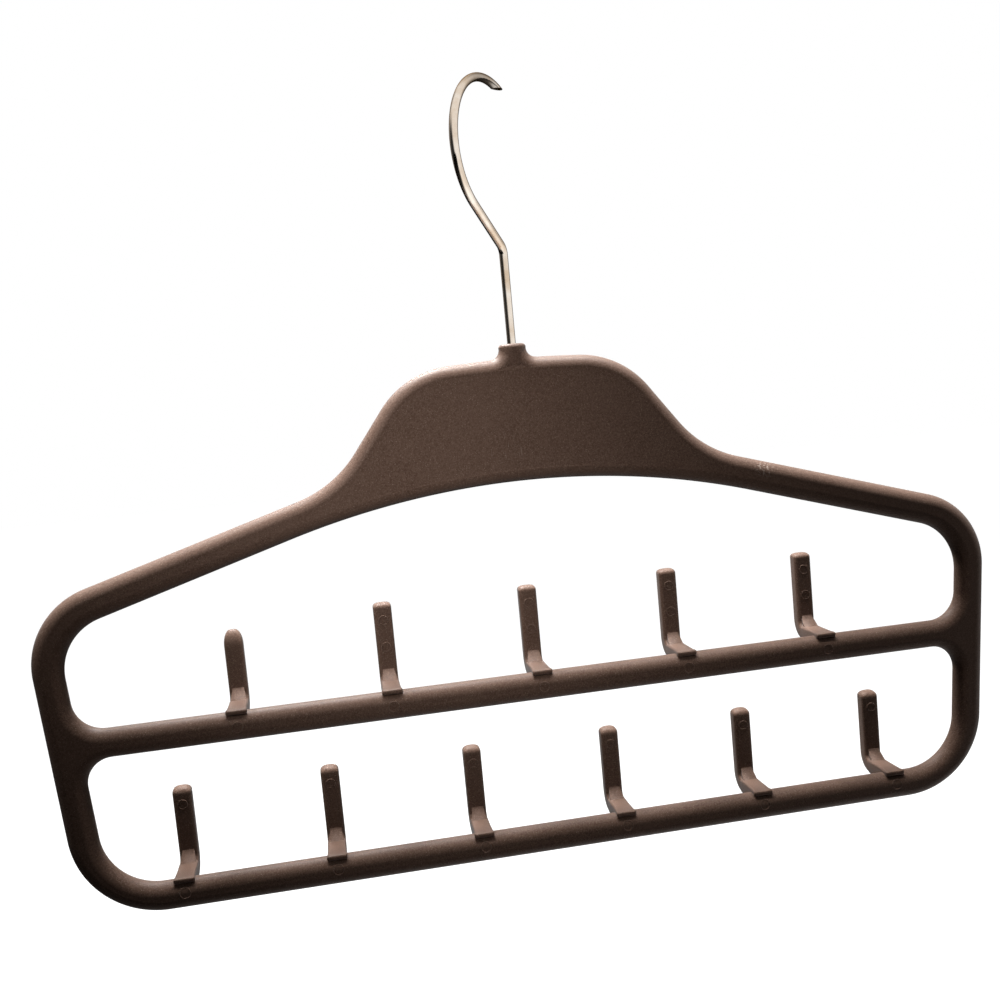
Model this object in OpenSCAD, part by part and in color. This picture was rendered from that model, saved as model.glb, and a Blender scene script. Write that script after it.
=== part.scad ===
/* [Frame] */
// Overall width across the shoulders
frame_w = 380; // [340:5:420]
// Height from the underside of the lower bar to the crown of the panel
frame_h = 197; // [185:1:210]
// Thickness of the moulding, whose edges are fully round
frame_t = 9; // [7:0.5:10]
// Depth of the flat faces below the crest of the round edges
face_recess = 0.1; // [0.05:0.05:0.3]
// Slope of the arms below level
arm_slope = 16.5; // [14:0.5:18]
// Width of the arms, square to their length
arm_w = 12.3; // [11:0.1:15]
// Inward lean of the legs from upright
leg_lean = 4.15; // [0:0.05:8]
// Width of the legs, square to their length
leg_w = 11.2; // [10.5:0.1:15]
// Height of the crossbar and of the lower bar
bar_h = 11; // [10.5:0.1:14]
// Height of the underside of the crossbar
crossbar_z = 62; // [54:1:68]

/* [Frame corners] */
// Radius of the outer shoulder
shoulder_r = 30.6; // [25:0.1:36]
// Height of the centre of the shoulder round
shoulder_z = 96.7; // [90:0.1:104]
// Radius of the outer lower corner
foot_r = 34.4; // [25:0.1:40]
// Radius of the upper window's corner under the shoulder
window_shoulder_r = 20.8; // [12:0.1:26]
// Radius of the upper window's lower corners
window_upper_r = 11.6; // [6:0.1:16]
// Radius of the lower window's upper corners
window_lower_r = 10.2; // [6:0.1:16]
// Radius of the lower window's lower corners
window_foot_r = 21.7; // [12:0.1:26]
// Radius of the arch over the upper window
arch_r = 322; // [250:1:360]

/* [Neck] */
// Half the width across the upper corners of the panel
crown_half_w = 42.5; // [38:0.5:48]
// Slope of the crown below level
crown_slope = 2.9; // [1:0.1:5]
// Slope of the panel's sides below level
neck_slope = 53.2; // [48:0.1:60]
// Radius of the panel's upper corners
crown_r = 35.8; // [28:0.1:40]
// Radius of the hollow between the panel and the arm
neck_r = 45.3; // [30:0.1:50]
// Diameter of the boss that carries the hook
boss_d = 10.6; // [9.6:0.1:13]
// Rise of the boss above the crown of the panel
boss_h = 5; // [3:0.5:10]
// Rounding of the boss's upper edge
boss_edge_r = 1.4; // [0.5:0.1:2]
// Length of the boss's taper into the panel
boss_taper_h = 10; // [8:0.5:12]
// Diameter of the boss at the foot of its taper
boss_foot_d = 8.4; // [8:0.1:9]
// Radius of the hollows beside the boss
boss_fillet_r = 3.8; // [2:0.1:5]
// Thickness of the webs beside the boss
boss_web_t = 5; // [3:0.5:7]

/* [Hook] */
// Diameter of the hook's wire
wire_d = 3.3; // [2.5:0.1:4]
// Inside diameter of the hook
hook_d = 50; // [40:1:60]
// Distance of the hook's centre from the stem's axis
hook_offset = 3.3; // [0:0.1:8]
// Height of the lower bend above the boss
stem_h = 36.3; // [28:0.1:50]
// Angle of the lower bend
stem_bend = 52.7; // [45:0.1:60]
// Radius of the lower bend at the wire's centre
stem_bend_r = 5.2; // [4:0.1:8]
// Arc of the hook past its top
tip_arc = 26.5; // [10:0.5:60]
// Slant of the cut at the tip, from square
tip_slant = 35; // [0:1:40]
// Turn of the hook about its stem
hook_turn = -127.3; // [-180:0.1:180]
// Diameter of the upset head on the stem's end
head_d = 6; // [5:0.1:6.4]
// Height of the upset head
head_h = 2.5; // [1.5:0.1:4]
// Depth of the head's upper face below the boss's top
head_depth = 12; // [9:0.5:16]

/* [Pegs] */
// Distance from the frame's side to the middle of the outermost upper peg
upper_end_gap = 71.6; // [60:0.1:90]
// Distance from the frame's side to the middle of the outermost lower peg
lower_end_gap = 45.25; // [42:0.05:60]
// Rise of the upper pegs above the crossbar
upper_rise = 31.8; // [20:0.1:40]
// Rise of the lower pegs above the lower bar
lower_rise = 30.5; // [20:0.1:40]
// Width of a peg
peg_w = 7.3; // [6:0.1:9]
// Depth of a peg, front to back
peg_d = 6.2; // [5:0.1:8]
// Rounding of a peg's long edges
peg_edge_r = 1.65; // [0.5:0.05:2.2]
// Rounding of a peg's top edges
peg_top_r = 1.5; // [0.5:0.1:2]
// Distance from the frame's middle plane to a peg's front face
peg_reach = 14.7; // [12:0.1:20]
// Height of the foot's top above the bar
foot_rise = 1.4; // [0.5:0.1:2.5]
// Radius of the bend inside the peg
bend_r = 1.8; // [1:0.1:4]
// Side of the web inside the bend
web_side = 4; // [2.5:0.1:6]
// Width of the web inside the bend
web_w = 5.2; // [4:0.1:6]
// Thickness of the tab on the front
tab_t = 2; // [1:0.1:3]
// Width of the tab at its front
tab_w = 8; // [7:0.1:10]
// Rounding of the tab's front corners
tab_corner_r = 0.8; // [0.3:0.1:1.5]
// Distance of the tab's front from the frame's front face
tab_setback = 0.5; // [0:0.1:1.5]
// Height of the root under the foot, down from the bar's top
root_drop = 7.4; // [6.5:0.1:8]

/* [Fits] */
// Radial gap between the stem and the boss's bore
stem_fit = 0.05; // [0.02:0.01:0.1]
// Gap all round the upset head
head_fit = 0.1; // [0.05:0.01:0.2]

/* [Hidden] */
$fa = 3;
$fs = 0.4;
upper_count = 5;
lower_count = 6;
upper_pitch = (frame_w - 2 * upper_end_gap) / (upper_count - 1);
lower_pitch = (frame_w - 2 * lower_end_gap) / (lower_count - 1);
eps = 0.01;
moulding = "#4a372c";
plated = "#c9b9a6";

// Edges and faces of the moulding
edge_r = frame_t / 2;
face_y = edge_r - face_recess;
lip = 0.2;

// Each bend is this much slimmer than the runs beside it and reaches this far into them
slim = 0.02;
reach = 0.1;

// Lines of the outline: the shoulder round carries the leg's and the arm's outer lines
shoulder_x = frame_w / 2 - shoulder_r;
arm_line = shoulder_x * sin(arm_slope) + shoulder_z * cos(arm_slope) + shoulder_r;
leg_line = shoulder_x * cos(leg_lean) - shoulder_z * sin(leg_lean) + shoulder_r;
crown_corner_z = frame_h - crown_half_w * tan(crown_slope);
neck_line = crown_half_w * sin(neck_slope) + crown_corner_z * cos(neck_slope);

// Bars, by the height of their upper sides
lower_bar_top = bar_h;
crossbar_top = crossbar_z + bar_h;

// Neck and hook, in heights above the lower bar's underside
wire_r = wire_d / 2;
boss_top = frame_h + boss_h;
boss_r = boss_d / 2;
head_top = boss_top - head_depth;
hook_r = hook_d / 2 + wire_r;
bend_z = boss_top + stem_h;
diagonal = (hook_offset + hook_r * cos(stem_bend)) / sin(stem_bend);
hook_z = bend_z + diagonal * cos(stem_bend) + hook_r * sin(stem_bend);
saddle_z = hook_z + sqrt(pow(hook_d / 2, 2) - pow(hook_offset, 2));

// Where the line at the given outward angle and distance meets another
function meet(angle_a, line_a, angle_b, line_b) =
    let (turn = sin(angle_b - angle_a))
    [
        (line_a * sin(angle_b) - line_b * sin(angle_a)) / turn,
        (line_b * cos(angle_a) - line_a * cos(angle_b)) / turn
    ];

arm_angle = 90 - arm_slope;
leg_angle = -leg_lean;
neck_angle = 90 - neck_slope;

// A vertex of an outline with the radius that rounds it
function rounded(point, radius) = [point[0], point[1], radius];

// A right half, from the bottom up, with its mirror image after it
function both_sides(half) = concat(
    half,
    [for (i = [len(half) - 1:-1:0]) if (half[i][0] > eps) [-half[i][0], half[i][1], half[i][2]]]
);

outline = both_sides([
    rounded(meet(leg_angle, leg_line, -90, 0), foot_r),
    rounded(meet(leg_angle, leg_line, arm_angle, arm_line), shoulder_r),
    rounded(meet(neck_angle, neck_line, arm_angle, arm_line), neck_r),
    [crown_half_w, crown_corner_z, crown_r],
    [0, frame_h, frame_w]
]);
upper_window = both_sides([
    rounded(meet(leg_angle, leg_line - leg_w, -90, -crossbar_top), window_upper_r),
    rounded(meet(leg_angle, leg_line - leg_w, arm_angle, arm_line - arm_w), window_shoulder_r),
    [0, (arm_line - arm_w) / cos(arm_slope), arch_r]
]);
lower_window = both_sides([
    rounded(meet(leg_angle, leg_line - leg_w, -90, -lower_bar_top), window_foot_r),
    rounded(meet(leg_angle, leg_line - leg_w, 90, crossbar_z), window_lower_r)
]);

// A path is a ring of [x, y, radius]; these read its points and directions
function point(path, i) = let (p = path[(i + len(path)) % len(path)]) [p[0], p[1]];
function heading(path, i) = let (v = point(path, i + 1) - point(path, i)) v / norm(v);
function left(v) = [-v[1], v[0]];
function bearing(v) = atan2(v[1], v[0]);
function turn(path, i) =
    let (u = heading(path, i - 1), w = heading(path, i))
    atan2(cross(u, w), u * w);

// The same path moved inward by a distance, its radii with it
function inset(path, distance) = [
    for (i = [0:len(path) - 1])
        let (u = left(heading(path, i - 1)), w = left(heading(path, i)))
        rounded(
            point(path, i) + distance * (u + w) / (1 + u * w),
            path[i][2] - distance * sign(turn(path, i))
        )
];

// Where the round at a vertex starts, ends and has its centre
function run_in(path, i) = path[i][2] * tan(abs(turn(path, i)) / 2);
function start(path, i) = point(path, i) - heading(path, i - 1) * run_in(path, i);
function end(path, i) = point(path, i) + heading(path, i) * run_in(path, i);
function centre(path, i) =
    start(path, i) + left(heading(path, i - 1)) * path[i][2] * sign(turn(path, i));

// The angle that a length takes on an arc
function angle_of(length, radius) = length / radius * 180 / PI;

// The sliver between a vertex's chord and its round
module round_cap(path, i) {
    intersection() {
        translate(centre(path, i))
            circle(path[i][2]);
        polygon([start(path, i), point(path, i), end(path, i)]);
    }
}

// The area that a path encloses, with its rounds
module area(path) {
    ring = [0:len(path) - 1];
    difference() {
        union() {
            polygon([for (i = ring) each [start(path, i), end(path, i)]]);
            for (i = ring)
                if (turn(path, i) > 0) round_cap(path, i);
        }
        for (i = ring)
            if (turn(path, i) < 0) round_cap(path, i);
    }
}

// Half a disc with a narrow lip behind it, facing +X or -X
module edge_section(facing, r = edge_r) {
    mirror([facing < 0 ? 1 : 0, 0]) {
        intersection() {
            circle(r);
            translate([0, -r])
                square(2 * r);
        }
        translate([-lip * r / edge_r, -r])
            square([lip * r / edge_r, 2 * r]);
    }
}

// The straight runs of the round edge along an inset path, facing its right side (1) or its left (-1)
module edge_runs(path, facing) {
    for (i = [0:len(path) - 1]) {
        run = start(path, (i + 1) % len(path)) - end(path, i);
        translate(end(path, i))
            rotate([90, 0, bearing(run) + 90])
                linear_extrude(norm(run))
                    edge_section(-facing);
    }
}

// The bends between those runs
module edge_bends(path, facing) {
    for (i = [0:len(path) - 1]) {
        first = turn(path, i) > 0 ? start(path, i) : end(path, i);
        overlap = angle_of(reach, path[i][2]);
        translate(centre(path, i))
            rotate(bearing(first - centre(path, i)) - overlap)
                rotate_extrude(angle = abs(turn(path, i)) + 2 * overlap)
                    translate([path[i][2], 0])
                        edge_section(facing * sign(turn(path, i)), edge_r - slim);
    }
}

// Turns what is drawn flat upright, its front toward -Y
module upright() {
    rotate([90, 0, 0])
        children();
}

// The panel, arms, legs and bars, drawn flat
module moulded_body() {
    border = inset(outline, edge_r);
    upper_rim = inset(upper_window, -edge_r);
    lower_rim = inset(lower_window, -edge_r);
    union() {
        linear_extrude(2 * face_y, center = true)
            difference() {
                area(border);
                area(upper_rim);
                area(lower_rim);
            }
        edge_runs(border, 1);
        edge_runs(upper_rim, -1);
        edge_runs(lower_rim, -1);
    }
    edge_bends(border, 1);
    edge_bends(upper_rim, -1);
    edge_bends(lower_rim, -1);
}

// The boss with the webs beside it, about the stem's axis
module boss() {
    round_z = boss_top - boss_edge_r;
    foot_z = round_z - boss_taper_h;
    rotate_extrude() {
        polygon([
            [0, foot_z],
            [boss_foot_d / 2, foot_z],
            [boss_r, round_z],
            [boss_r - boss_edge_r, round_z],
            [boss_r - boss_edge_r, boss_top],
            [0, boss_top]
        ]);
        intersection() {
            translate([boss_r - boss_edge_r, round_z])
                circle(boss_edge_r);
            translate([boss_r - boss_edge_r, round_z])
                square(boss_edge_r);
        }
    }
    half_w = boss_r + boss_fillet_r;
    crown_z = frame_h - half_w * tan(crown_slope);
    difference() {
        translate([-half_w, -boss_web_t / 2, frame_h - edge_r])
            cube([2 * half_w, boss_web_t, crown_z + boss_fillet_r - frame_h + edge_r]);
        for (side = [-1, 1])
            translate([side * half_w, 0, crown_z + boss_fillet_r])
                rotate([90, 0, 0])
                    cylinder(r = boss_fillet_r, h = 2 * boss_web_t, center = true);
    }
}

// The bore for the stem and the chamber that holds its head
module stem_bore() {
    translate([0, 0, head_top])
        cylinder(r = wire_r + stem_fit, h = 2 * head_depth);
    translate([0, 0, head_top - head_h - head_fit])
        cylinder(r = head_d / 2 + head_fit, h = head_h + 2 * head_fit);
}

// The moulding without its pegs
module frame() {
    color(moulding)
        translate([0, 0, -saddle_z])
            difference() {
                union() {
                    upright()
                        moulded_body();
                    boss();
                }
                stem_bore();
            }
}

// A bend of the wire in the plane of X and Z, between two angles up from +X
module wire_bend(bend_radius, from, to) {
    overlap = angle_of(reach, bend_radius);
    upright()
        rotate(from - overlap)
            rotate_extrude(angle = to - from + 2 * overlap)
                translate([bend_radius, 0])
                    circle(wire_r - slim);
}

// What the slanting cut takes off the tip
module tip_cut(tip_angle) {
    block = 4 * wire_d;
    translate([hook_r * cos(tip_angle), 0, hook_r * sin(tip_angle)])
        rotate([0, -90 - tip_angle - tip_slant, 0])
            translate([0, -block / 2, -block / 2])
                cube(block);
}

// The wire hook: upset head, stem, lower bend, slanting run and open hook
module hook() {
    bend_run = stem_bend_r * tan(stem_bend / 2);
    tip_angle = 90 + tip_arc;
    spare_angle = atan(wire_r / hook_r);
    color(plated)
        translate([0, 0, -saddle_z])
            rotate(hook_turn) {
                translate([0, 0, head_top - head_h])
                    cylinder(r = head_d / 2, h = head_h);
                translate([0, 0, head_top - head_h / 2])
                    cylinder(r = wire_r, h = bend_z - bend_run - head_top + head_h / 2);
                translate([stem_bend_r, 0, bend_z - bend_run])
                    wire_bend(stem_bend_r, 180 - stem_bend, 180);
                translate([0, 0, bend_z])
                    rotate([0, stem_bend, 0])
                        translate([0, 0, bend_run])
                            cylinder(r = wire_r, h = diagonal - bend_run);
                translate([hook_offset, 0, hook_z])
                    difference() {
                        wire_bend(hook_r, -stem_bend, tip_angle + spare_angle);
                        tip_cut(tip_angle);
                    }
            }
}

// The rounded section of a peg, its width along X
module peg_section() {
    square([peg_w - 2 * peg_edge_r, peg_d], center = true);
    square([peg_w, peg_d - 2 * peg_edge_r], center = true);
    for (x = [-1, 1], y = [-1, 1])
        translate([x * (peg_w / 2 - peg_edge_r), y * (peg_d / 2 - peg_edge_r)])
            circle(peg_edge_r);
}

// A prism along X of a profile drawn in Y and Z
module across(width) {
    translate([-width / 2, 0, 0])
        rotate([90, 0, 90])
            linear_extrude(width)
                children();
}

// A bar's section, the top of the bar at zero
module bar_section() {
    translate([0, -edge_r])
        rotate(90)
            edge_section(1);
    translate([0, edge_r - bar_h])
        rotate(90)
            edge_section(-1);
    translate([-face_y, edge_r - bar_h])
        square([2 * face_y, bar_h - 2 * edge_r]);
}

// The upright of a peg, with its rounded top
module peg_upright(foot_z, rise) {
    middle_y = peg_reach + peg_d / 2;
    intersection() {
        translate([0, middle_y, foot_z])
            linear_extrude(rise - foot_z)
                peg_section();
        translate([0, middle_y, 0]) {
            across(peg_w)
                top_profile(peg_d, rise);
        }
        translate([0, middle_y, 0])
            rotate(90)
                across(peg_d)
                    top_profile(peg_w, rise);
    }
}

// A rectangle with round upper corners, standing on zero
module top_profile(width, height) {
    translate([-width / 2, 0])
        square([width, height - peg_top_r]);
    translate([peg_top_r - width / 2, 0])
        square([width - 2 * peg_top_r, height]);
    for (side = [-1, 1])
        translate([side * (width / 2 - peg_top_r), height - peg_top_r])
            circle(peg_top_r);
}

// The front tab, seen from above
module tab_outline(front_y, back_y) {
    translate([-tab_w / 2 + tab_corner_r, front_y])
        square([tab_w - 2 * tab_corner_r, tab_corner_r]);
    for (side = [-1, 1])
        translate([side * (tab_w / 2 - tab_corner_r), front_y + tab_corner_r])
            circle(tab_corner_r);
    polygon([
        [-tab_w / 2, front_y + tab_corner_r],
        [tab_w / 2, front_y + tab_corner_r],
        [web_w / 2, back_y],
        [-web_w / 2, back_y]
    ]);
}

// A peg: front tab, foot over the bar, root behind it, bend with its web, and upright
module peg(rise) {
    bend_y = peg_reach - bend_r;
    foot_bend_z = foot_rise + bend_r;
    bend_out = bend_r + peg_d;
    web_y = peg_reach - web_side;
    root = [edge_r, -root_drop];
    from_bend = root - [bend_y, foot_bend_z];
    touch = bearing(from_bend) + acos(bend_out / norm(from_bend));
    difference() {
        union() {
            peg_upright(foot_bend_z, rise);
            translate([0, bend_y, foot_bend_z])
                rotate([90, 0, 90])
                    rotate(-90)
                        rotate_extrude(angle = 90)
                            translate([bend_r + peg_d / 2, 0])
                                rotate(90)
                                    peg_section();
            translate([0, bend_y, foot_rise - peg_d / 2])
                rotate([90, 0, 0])
                    linear_extrude(bend_y)
                        peg_section();
            across(peg_w - 2 * peg_edge_r)
                polygon([
                    [0, foot_rise - peg_d / 2],
                    [0, root[1]],
                    root,
                    [bend_y + bend_out * cos(touch), foot_bend_z + bend_out * sin(touch)],
                    [bend_y, foot_rise - peg_d / 2]
                ]);
            across(web_w)
                polygon([
                    [web_y, foot_rise - peg_edge_r],
                    [web_y, foot_rise],
                    [peg_reach, foot_rise + web_side],
                    [peg_reach + peg_edge_r, foot_rise + web_side],
                    [peg_reach + peg_edge_r, foot_rise - peg_edge_r]
                ]);
            translate([0, 0, foot_rise - tab_t])
                linear_extrude(tab_t)
                    tab_outline(tab_setback - edge_r, web_y);
        }
        across(2 * tab_w)
            bar_section();
    }
}

// One peg of a row, counted from the left
module row_peg(i, count, pitch, bar_top, rise) {
    color(moulding)
        translate([(i - (count + 1) / 2) * pitch, 0, bar_top - saddle_z])
            peg(rise);
}

module upper_peg(i) {
    row_peg(i, upper_count, upper_pitch, crossbar_top, upper_rise);
}

module lower_peg(i) {
    row_peg(i, lower_count, lower_pitch, lower_bar_top, lower_rise);
}

frame();
hook();
for (i = [1:upper_count]) {
    upper_peg(i);
}
for (i = [1:lower_count]) {
    lower_peg(i);
}
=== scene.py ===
"""The looks of a moulded tie hanger: its frame, eleven pegs, wire hook, light and camera."""

import logging
import math
from collections.abc import Callable
from dataclasses import dataclass
from enum import Enum
from functools import partial

import bmesh
import bpy
from mathutils import Matrix, Vector

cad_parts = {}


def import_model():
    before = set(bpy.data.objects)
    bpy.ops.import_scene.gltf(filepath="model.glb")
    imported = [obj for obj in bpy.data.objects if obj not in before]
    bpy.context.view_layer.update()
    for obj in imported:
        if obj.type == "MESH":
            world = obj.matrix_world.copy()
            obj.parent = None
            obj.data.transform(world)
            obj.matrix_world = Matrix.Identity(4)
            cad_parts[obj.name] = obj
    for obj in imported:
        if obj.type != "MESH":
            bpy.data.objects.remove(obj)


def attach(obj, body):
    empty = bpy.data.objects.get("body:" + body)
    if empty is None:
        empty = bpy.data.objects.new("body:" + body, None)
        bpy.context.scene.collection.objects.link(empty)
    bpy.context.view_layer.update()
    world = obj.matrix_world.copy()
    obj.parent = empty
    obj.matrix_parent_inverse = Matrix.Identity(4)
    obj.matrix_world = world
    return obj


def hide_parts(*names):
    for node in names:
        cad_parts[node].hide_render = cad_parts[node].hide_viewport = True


MM = 0.001
LOG = logging.getLogger("tie_hanger")
WHITE = (1.0, 1.0, 1.0, 1.0)
Colour = tuple[float, float, float]
Depths = tuple[float, ...]
Node = bpy.types.Node
Object = bpy.types.Object
Place = tuple[float, float, float]
Point = tuple[float, float]
Ring = list[Vector]
Socket = bpy.types.NodeSocket


class Body(Enum):
    """The rigid bodies of the hanger."""

    HOOK = "hook"
    MOULDING = "hanger"


class Slot(Enum):
    """The material slots of the record."""

    MOULDING = "moulding"
    WIRE = "plated_wire"


@dataclass(frozen=True)
class Levels:
    """Heights in millimetres above the underside of the lower bar, as the moulding is drawn.

    Args:
        saddle: Height of the hook's saddle, which is the origin of the model.
    """

    saddle: float = 299.097

    def place(self, x: float, y: float, z: float) -> Vector:
        """Returns a drawn point in metres from the model's origin."""
        return Vector((x * MM, y * MM, (z - self.saddle) * MM))


LEVELS = Levels()


@dataclass(frozen=True)
class Pattern:
    """A noise pattern on the surface.

    Args:
        scale: Scale per metre.
        detail: Detail of the noise.
        window: Heights of the noise between which the pattern fades in.
        strength: Share that the pattern reaches.
        stretch: Scale of its coordinates across, and along the height.
    """

    scale: float
    detail: float
    window: Point = (0.0, 1.0)
    strength: float = 1.0
    stretch: Point = (1.0, 1.0)


class Graph:
    """Wires the shader nodes of one material or world."""

    def __init__(self, owner: bpy.types.ID) -> None:
        """Empties the node tree.

        Args:
            owner: The material or world that the nodes belong to.
        """
        self.owner = owner
        owner.use_nodes = True
        self.tree = owner.node_tree
        self.tree.nodes.clear()

    def put(self, socket: Socket, value: object) -> None:
        """Links an output to a socket, or sets the socket's own value.

        Args:
            socket: The input to fill.
            value: An output, or a plain value.
        """
        if isinstance(value, Socket):
            self.tree.links.new(value, socket)
        else:
            socket.default_value = value

    def node(self, kind: str, **inputs: object) -> Node:
        """Adds a node and fills its inputs.

        Args:
            kind: Blender's name for the node's type.
            **inputs: Socket names, with underscores for spaces, and what goes into them.

        Returns:
            The new node.
        """
        node = self.tree.nodes.new(kind)
        for name, value in inputs.items():
            self.put(node.inputs[name.replace("_", " ")], value)
        return node

    def math(self, operation: str, *values: object, kind: str = "ShaderNodeMath") -> Socket:
        """Adds a calculation.

        Args:
            operation: Blender's name for the calculation.
            *values: The numbers or vectors that it takes.
            kind: Blender's name for the node's type.

        Returns:
            The resulting number.
        """
        node = self.tree.nodes.new(kind)
        node.operation = operation
        for socket, value in zip(node.inputs, values):
            self.put(socket, value)
        return node.outputs["Value"]

    def span(self, value: Socket, source: Point, target: Point) -> Socket:
        """Moves a value from one range to another and clamps it there.

        Args:
            value: The value.
            source: The range that it comes from.
            target: The range that it goes to.

        Returns:
            The moved value.
        """
        node = self.node("ShaderNodeMapRange", Value=value)
        for socket, number in zip(node.inputs[1:5], (*source, *target), strict=True):
            socket.default_value = number
        return node.outputs["Result"]

    def near(self, place: Socket, centre: Place, reach: Point) -> Socket:
        """Returns 1 near a point, falling to 0 between two distances in metres."""
        distance = self.math("DISTANCE", place, centre, kind="ShaderNodeVectorMath")
        return self.span(distance, reach, (1.0, 0.0))

    def object_place(self, stretch: Point = (1.0, 1.0)) -> Socket:
        """Adds object coordinates.

        Args:
            stretch: Scale across, and scale along Z.

        Returns:
            The scaled coordinates.
        """
        across, along = stretch
        coordinates = self.node("ShaderNodeTexCoord").outputs["Object"]
        scale = (across, across, along)
        return self.node("ShaderNodeMapping", Vector=coordinates, Scale=scale).outputs["Vector"]

    def noise(self, pattern: Pattern) -> Socket:
        """Adds the noise of a pattern.

        Args:
            pattern: The pattern.

        Returns:
            The height of the noise.
        """
        node = self.node("ShaderNodeTexNoise", Scale=pattern.scale, Detail=pattern.detail)
        self.put(node.inputs["Vector"], self.object_place(pattern.stretch))
        return node.outputs["Fac"]

    def fade(self, noise: Socket, pattern: Pattern) -> Socket:
        """Returns the share of a pattern that shows, for the height of its noise."""
        return self.span(noise, pattern.window, (0.0, pattern.strength))

    def blend(self, share: Socket, first: Socket | Colour, second: Socket | Colour) -> Socket:
        """Mixes two colours.

        Args:
            share: Share of the second colour.
            first: The first colour.
            second: The second colour.

        Returns:
            The mixed colour.
        """
        node = self.tree.nodes.new("ShaderNodeMix")
        node.data_type = "RGBA"
        self.put(node.inputs["Factor"], share)
        # The colour sockets stand behind those for numbers and vectors, which bear the same names.
        for socket, colour in zip(node.inputs[6:8], (first, second), strict=True):
            self.put(socket, colour if isinstance(colour, Socket) else (*colour, 1.0))
        return node.outputs[2]

    def bump(self, height: Socket, relief: Point, under: Socket | None = None) -> Socket:
        """Roughens the surface with a height pattern.

        Args:
            height: The pattern.
            relief: Depth in metres and strength of the relief.
            under: A normal that this relief is laid over.

        Returns:
            The roughened normal.
        """
        depth, strength = relief
        node = self.node("ShaderNodeBump", Height=height, Distance=depth, Strength=strength)
        if under is not None:
            self.put(node.inputs["Normal"], under)
        return node.outputs["Normal"]

    def mix(self, share: Socket, first: Node, second: Node) -> Node:
        """Mixes two shaders.

        Args:
            share: Share of the second shader.
            first: The first shader.
            second: The second shader.

        Returns:
            The mixed shader.
        """
        node = self.node("ShaderNodeMixShader", Fac=share)
        for socket, shader in zip(node.inputs[1:3], (first, second), strict=True):
            self.put(socket, shader.outputs[0])
        return node

    def finish(self, shader: Node, output: str = "ShaderNodeOutputMaterial") -> bpy.types.ID:
        """Joins a shader to a new output node.

        Args:
            shader: The shader.
            output: Blender's name for the output node's type.

        Returns:
            The material or world that the nodes belong to.
        """
        self.node(output, Surface=shader.outputs[0])
        return self.owner


@dataclass(frozen=True)
class MouldedPlastic:
    """Dark brown moulded plastic with a fine spark-eroded grain.

    Args:
        deep: Colour in the hollows of the grain.
        worn: Colour on the crests of the grain.
        speck: Colour of the pale specks.
        scratch: Colour of the scuffs and scratches.
        grain: The fine grain.
        mottle: The wider unevenness of the grain.
        flow: The cloudy marks that the melt left as it flowed.
        specks: The pale specks.
        scuffs: Place, reach in metres and pattern of the scuff on the right arm, and of the
            scratches on the panel.
        reliefs: Depth in metres and strength of the mottle's and of the grain's relief.
        rough: Two heights of the grain, and the roughness at them.
        refraction: Index of refraction.
        gloss: Level of the gloss, and the grey that tints it.
        sheen: Weight and roughness of the dusty sheen.
        sheen_tint: Colour of the sheen.
    """

    deep: Colour = (0.056, 0.031, 0.021)
    worn: Colour = (0.092, 0.056, 0.041)
    speck: Colour = (0.20, 0.145, 0.115)
    scratch: Colour = (0.24, 0.19, 0.16)
    grain: Pattern = Pattern(1500.0, 4.0, (0.34, 0.66))
    mottle: Pattern = Pattern(90.0, 3.0, (0.40, 0.75), 0.30)
    flow: Pattern = Pattern(1.0, 2.0, (0.40, 0.75), 0.30, (26.0, 9.0))
    specks: Pattern = Pattern(3300.0, 1.0, (0.62, 0.76), 0.8)
    scuffs: tuple[tuple[Vector, Point, Pattern], ...] = (
        (
            LEVELS.place(96.8, -4.5, 144.4),
            (0.0015, 0.0048),
            Pattern(900.0, 4.0, (0.54, 0.60), 0.8),
        ),
        (
            LEVELS.place(-6.0, -4.5, 163.0),
            (0.002, 0.0075),
            Pattern(1.0, 2.0, (0.63, 0.69), 0.8, (1500.0, 110.0)),
        ),
    )
    reliefs: tuple[Point, Point] = ((0.00012, 0.12), (0.00009, 0.30))
    rough: tuple[Point, Point] = ((0.3, 0.7), (0.46, 0.62))
    refraction: float = 1.49
    gloss: Point = (0.5, 0.10)
    sheen: Point = (0.05, 0.45)
    sheen_tint: Colour = (0.80, 0.94, 1.0)

    def make(self) -> bpy.types.Material:
        """Wires the finish.

        Returns:
            The finish as a material.
        """
        graph = Graph(bpy.data.materials.new("brown_moulded_plastic"))
        grain, mottle = graph.noise(self.grain), graph.noise(self.mottle)
        colour = graph.blend(graph.fade(grain, self.grain), self.deep, self.worn)
        colour = graph.blend(graph.fade(mottle, self.mottle), colour, self.worn)
        for pattern, tone in ((self.flow, self.worn), (self.specks, self.speck)):
            colour = graph.blend(graph.fade(graph.noise(pattern), pattern), colour, tone)
        for centre, reach, pattern in self.scuffs:
            spot = graph.near(graph.object_place(), centre, reach)
            share = graph.math("MULTIPLY", spot, graph.fade(graph.noise(pattern), pattern))
            colour = graph.blend(share, colour, self.scratch)
        level, grey = self.gloss
        weight, softness = self.sheen
        shader = graph.node(
            "ShaderNodeBsdfPrincipled",
            Base_Color=colour,
            Roughness=graph.span(grain, *self.rough),
            IOR=self.refraction,
            Normal=graph.bump(grain, self.reliefs[1], graph.bump(mottle, self.reliefs[0])),
            Specular_IOR_Level=level,
            Specular_Tint=(grey, grey, grey, 1.0),
            Sheen_Weight=weight,
            Sheen_Roughness=softness,
            Sheen_Tint=(*self.sheen_tint, 1.0),
        )
        return graph.finish(shader)


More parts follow.
